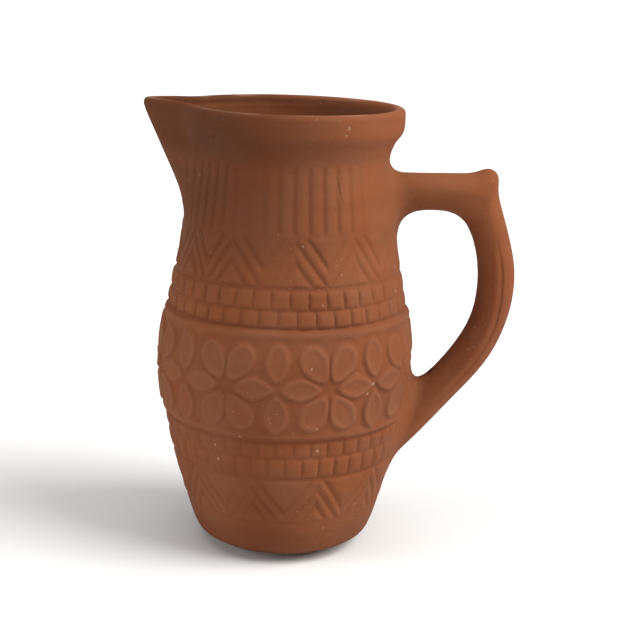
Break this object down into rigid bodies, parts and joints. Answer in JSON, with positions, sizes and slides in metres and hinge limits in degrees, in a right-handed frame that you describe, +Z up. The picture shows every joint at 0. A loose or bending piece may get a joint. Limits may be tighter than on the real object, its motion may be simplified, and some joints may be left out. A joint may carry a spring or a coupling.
{
  "type": "pitcher",
  "caption": "Terracotta pitcher with a moulded relief body, pinched spout, collared rim and a single loop handle with a thumb rest.",
  "frame": {"origin": "middle of the flat underside, on the axis of the body", "axes": "+Z up along the body axis; the handle stands out along +X and the spout along -X; +Y completes the frame"},
  "size_m": [0.1924, 0.1324, 0.2322],
  "materials": {
    "body_clay": "matte, unglazed",
    "handle_clay": "matte, unglazed",
    "slip": "matte, unglazed"
  },
  "bodies": {
    "root": {"body": "body_clay", "handle": "handle_clay", "upper_slip": "slip", "lower_slip": "slip"}
  },
  "joints": []
}
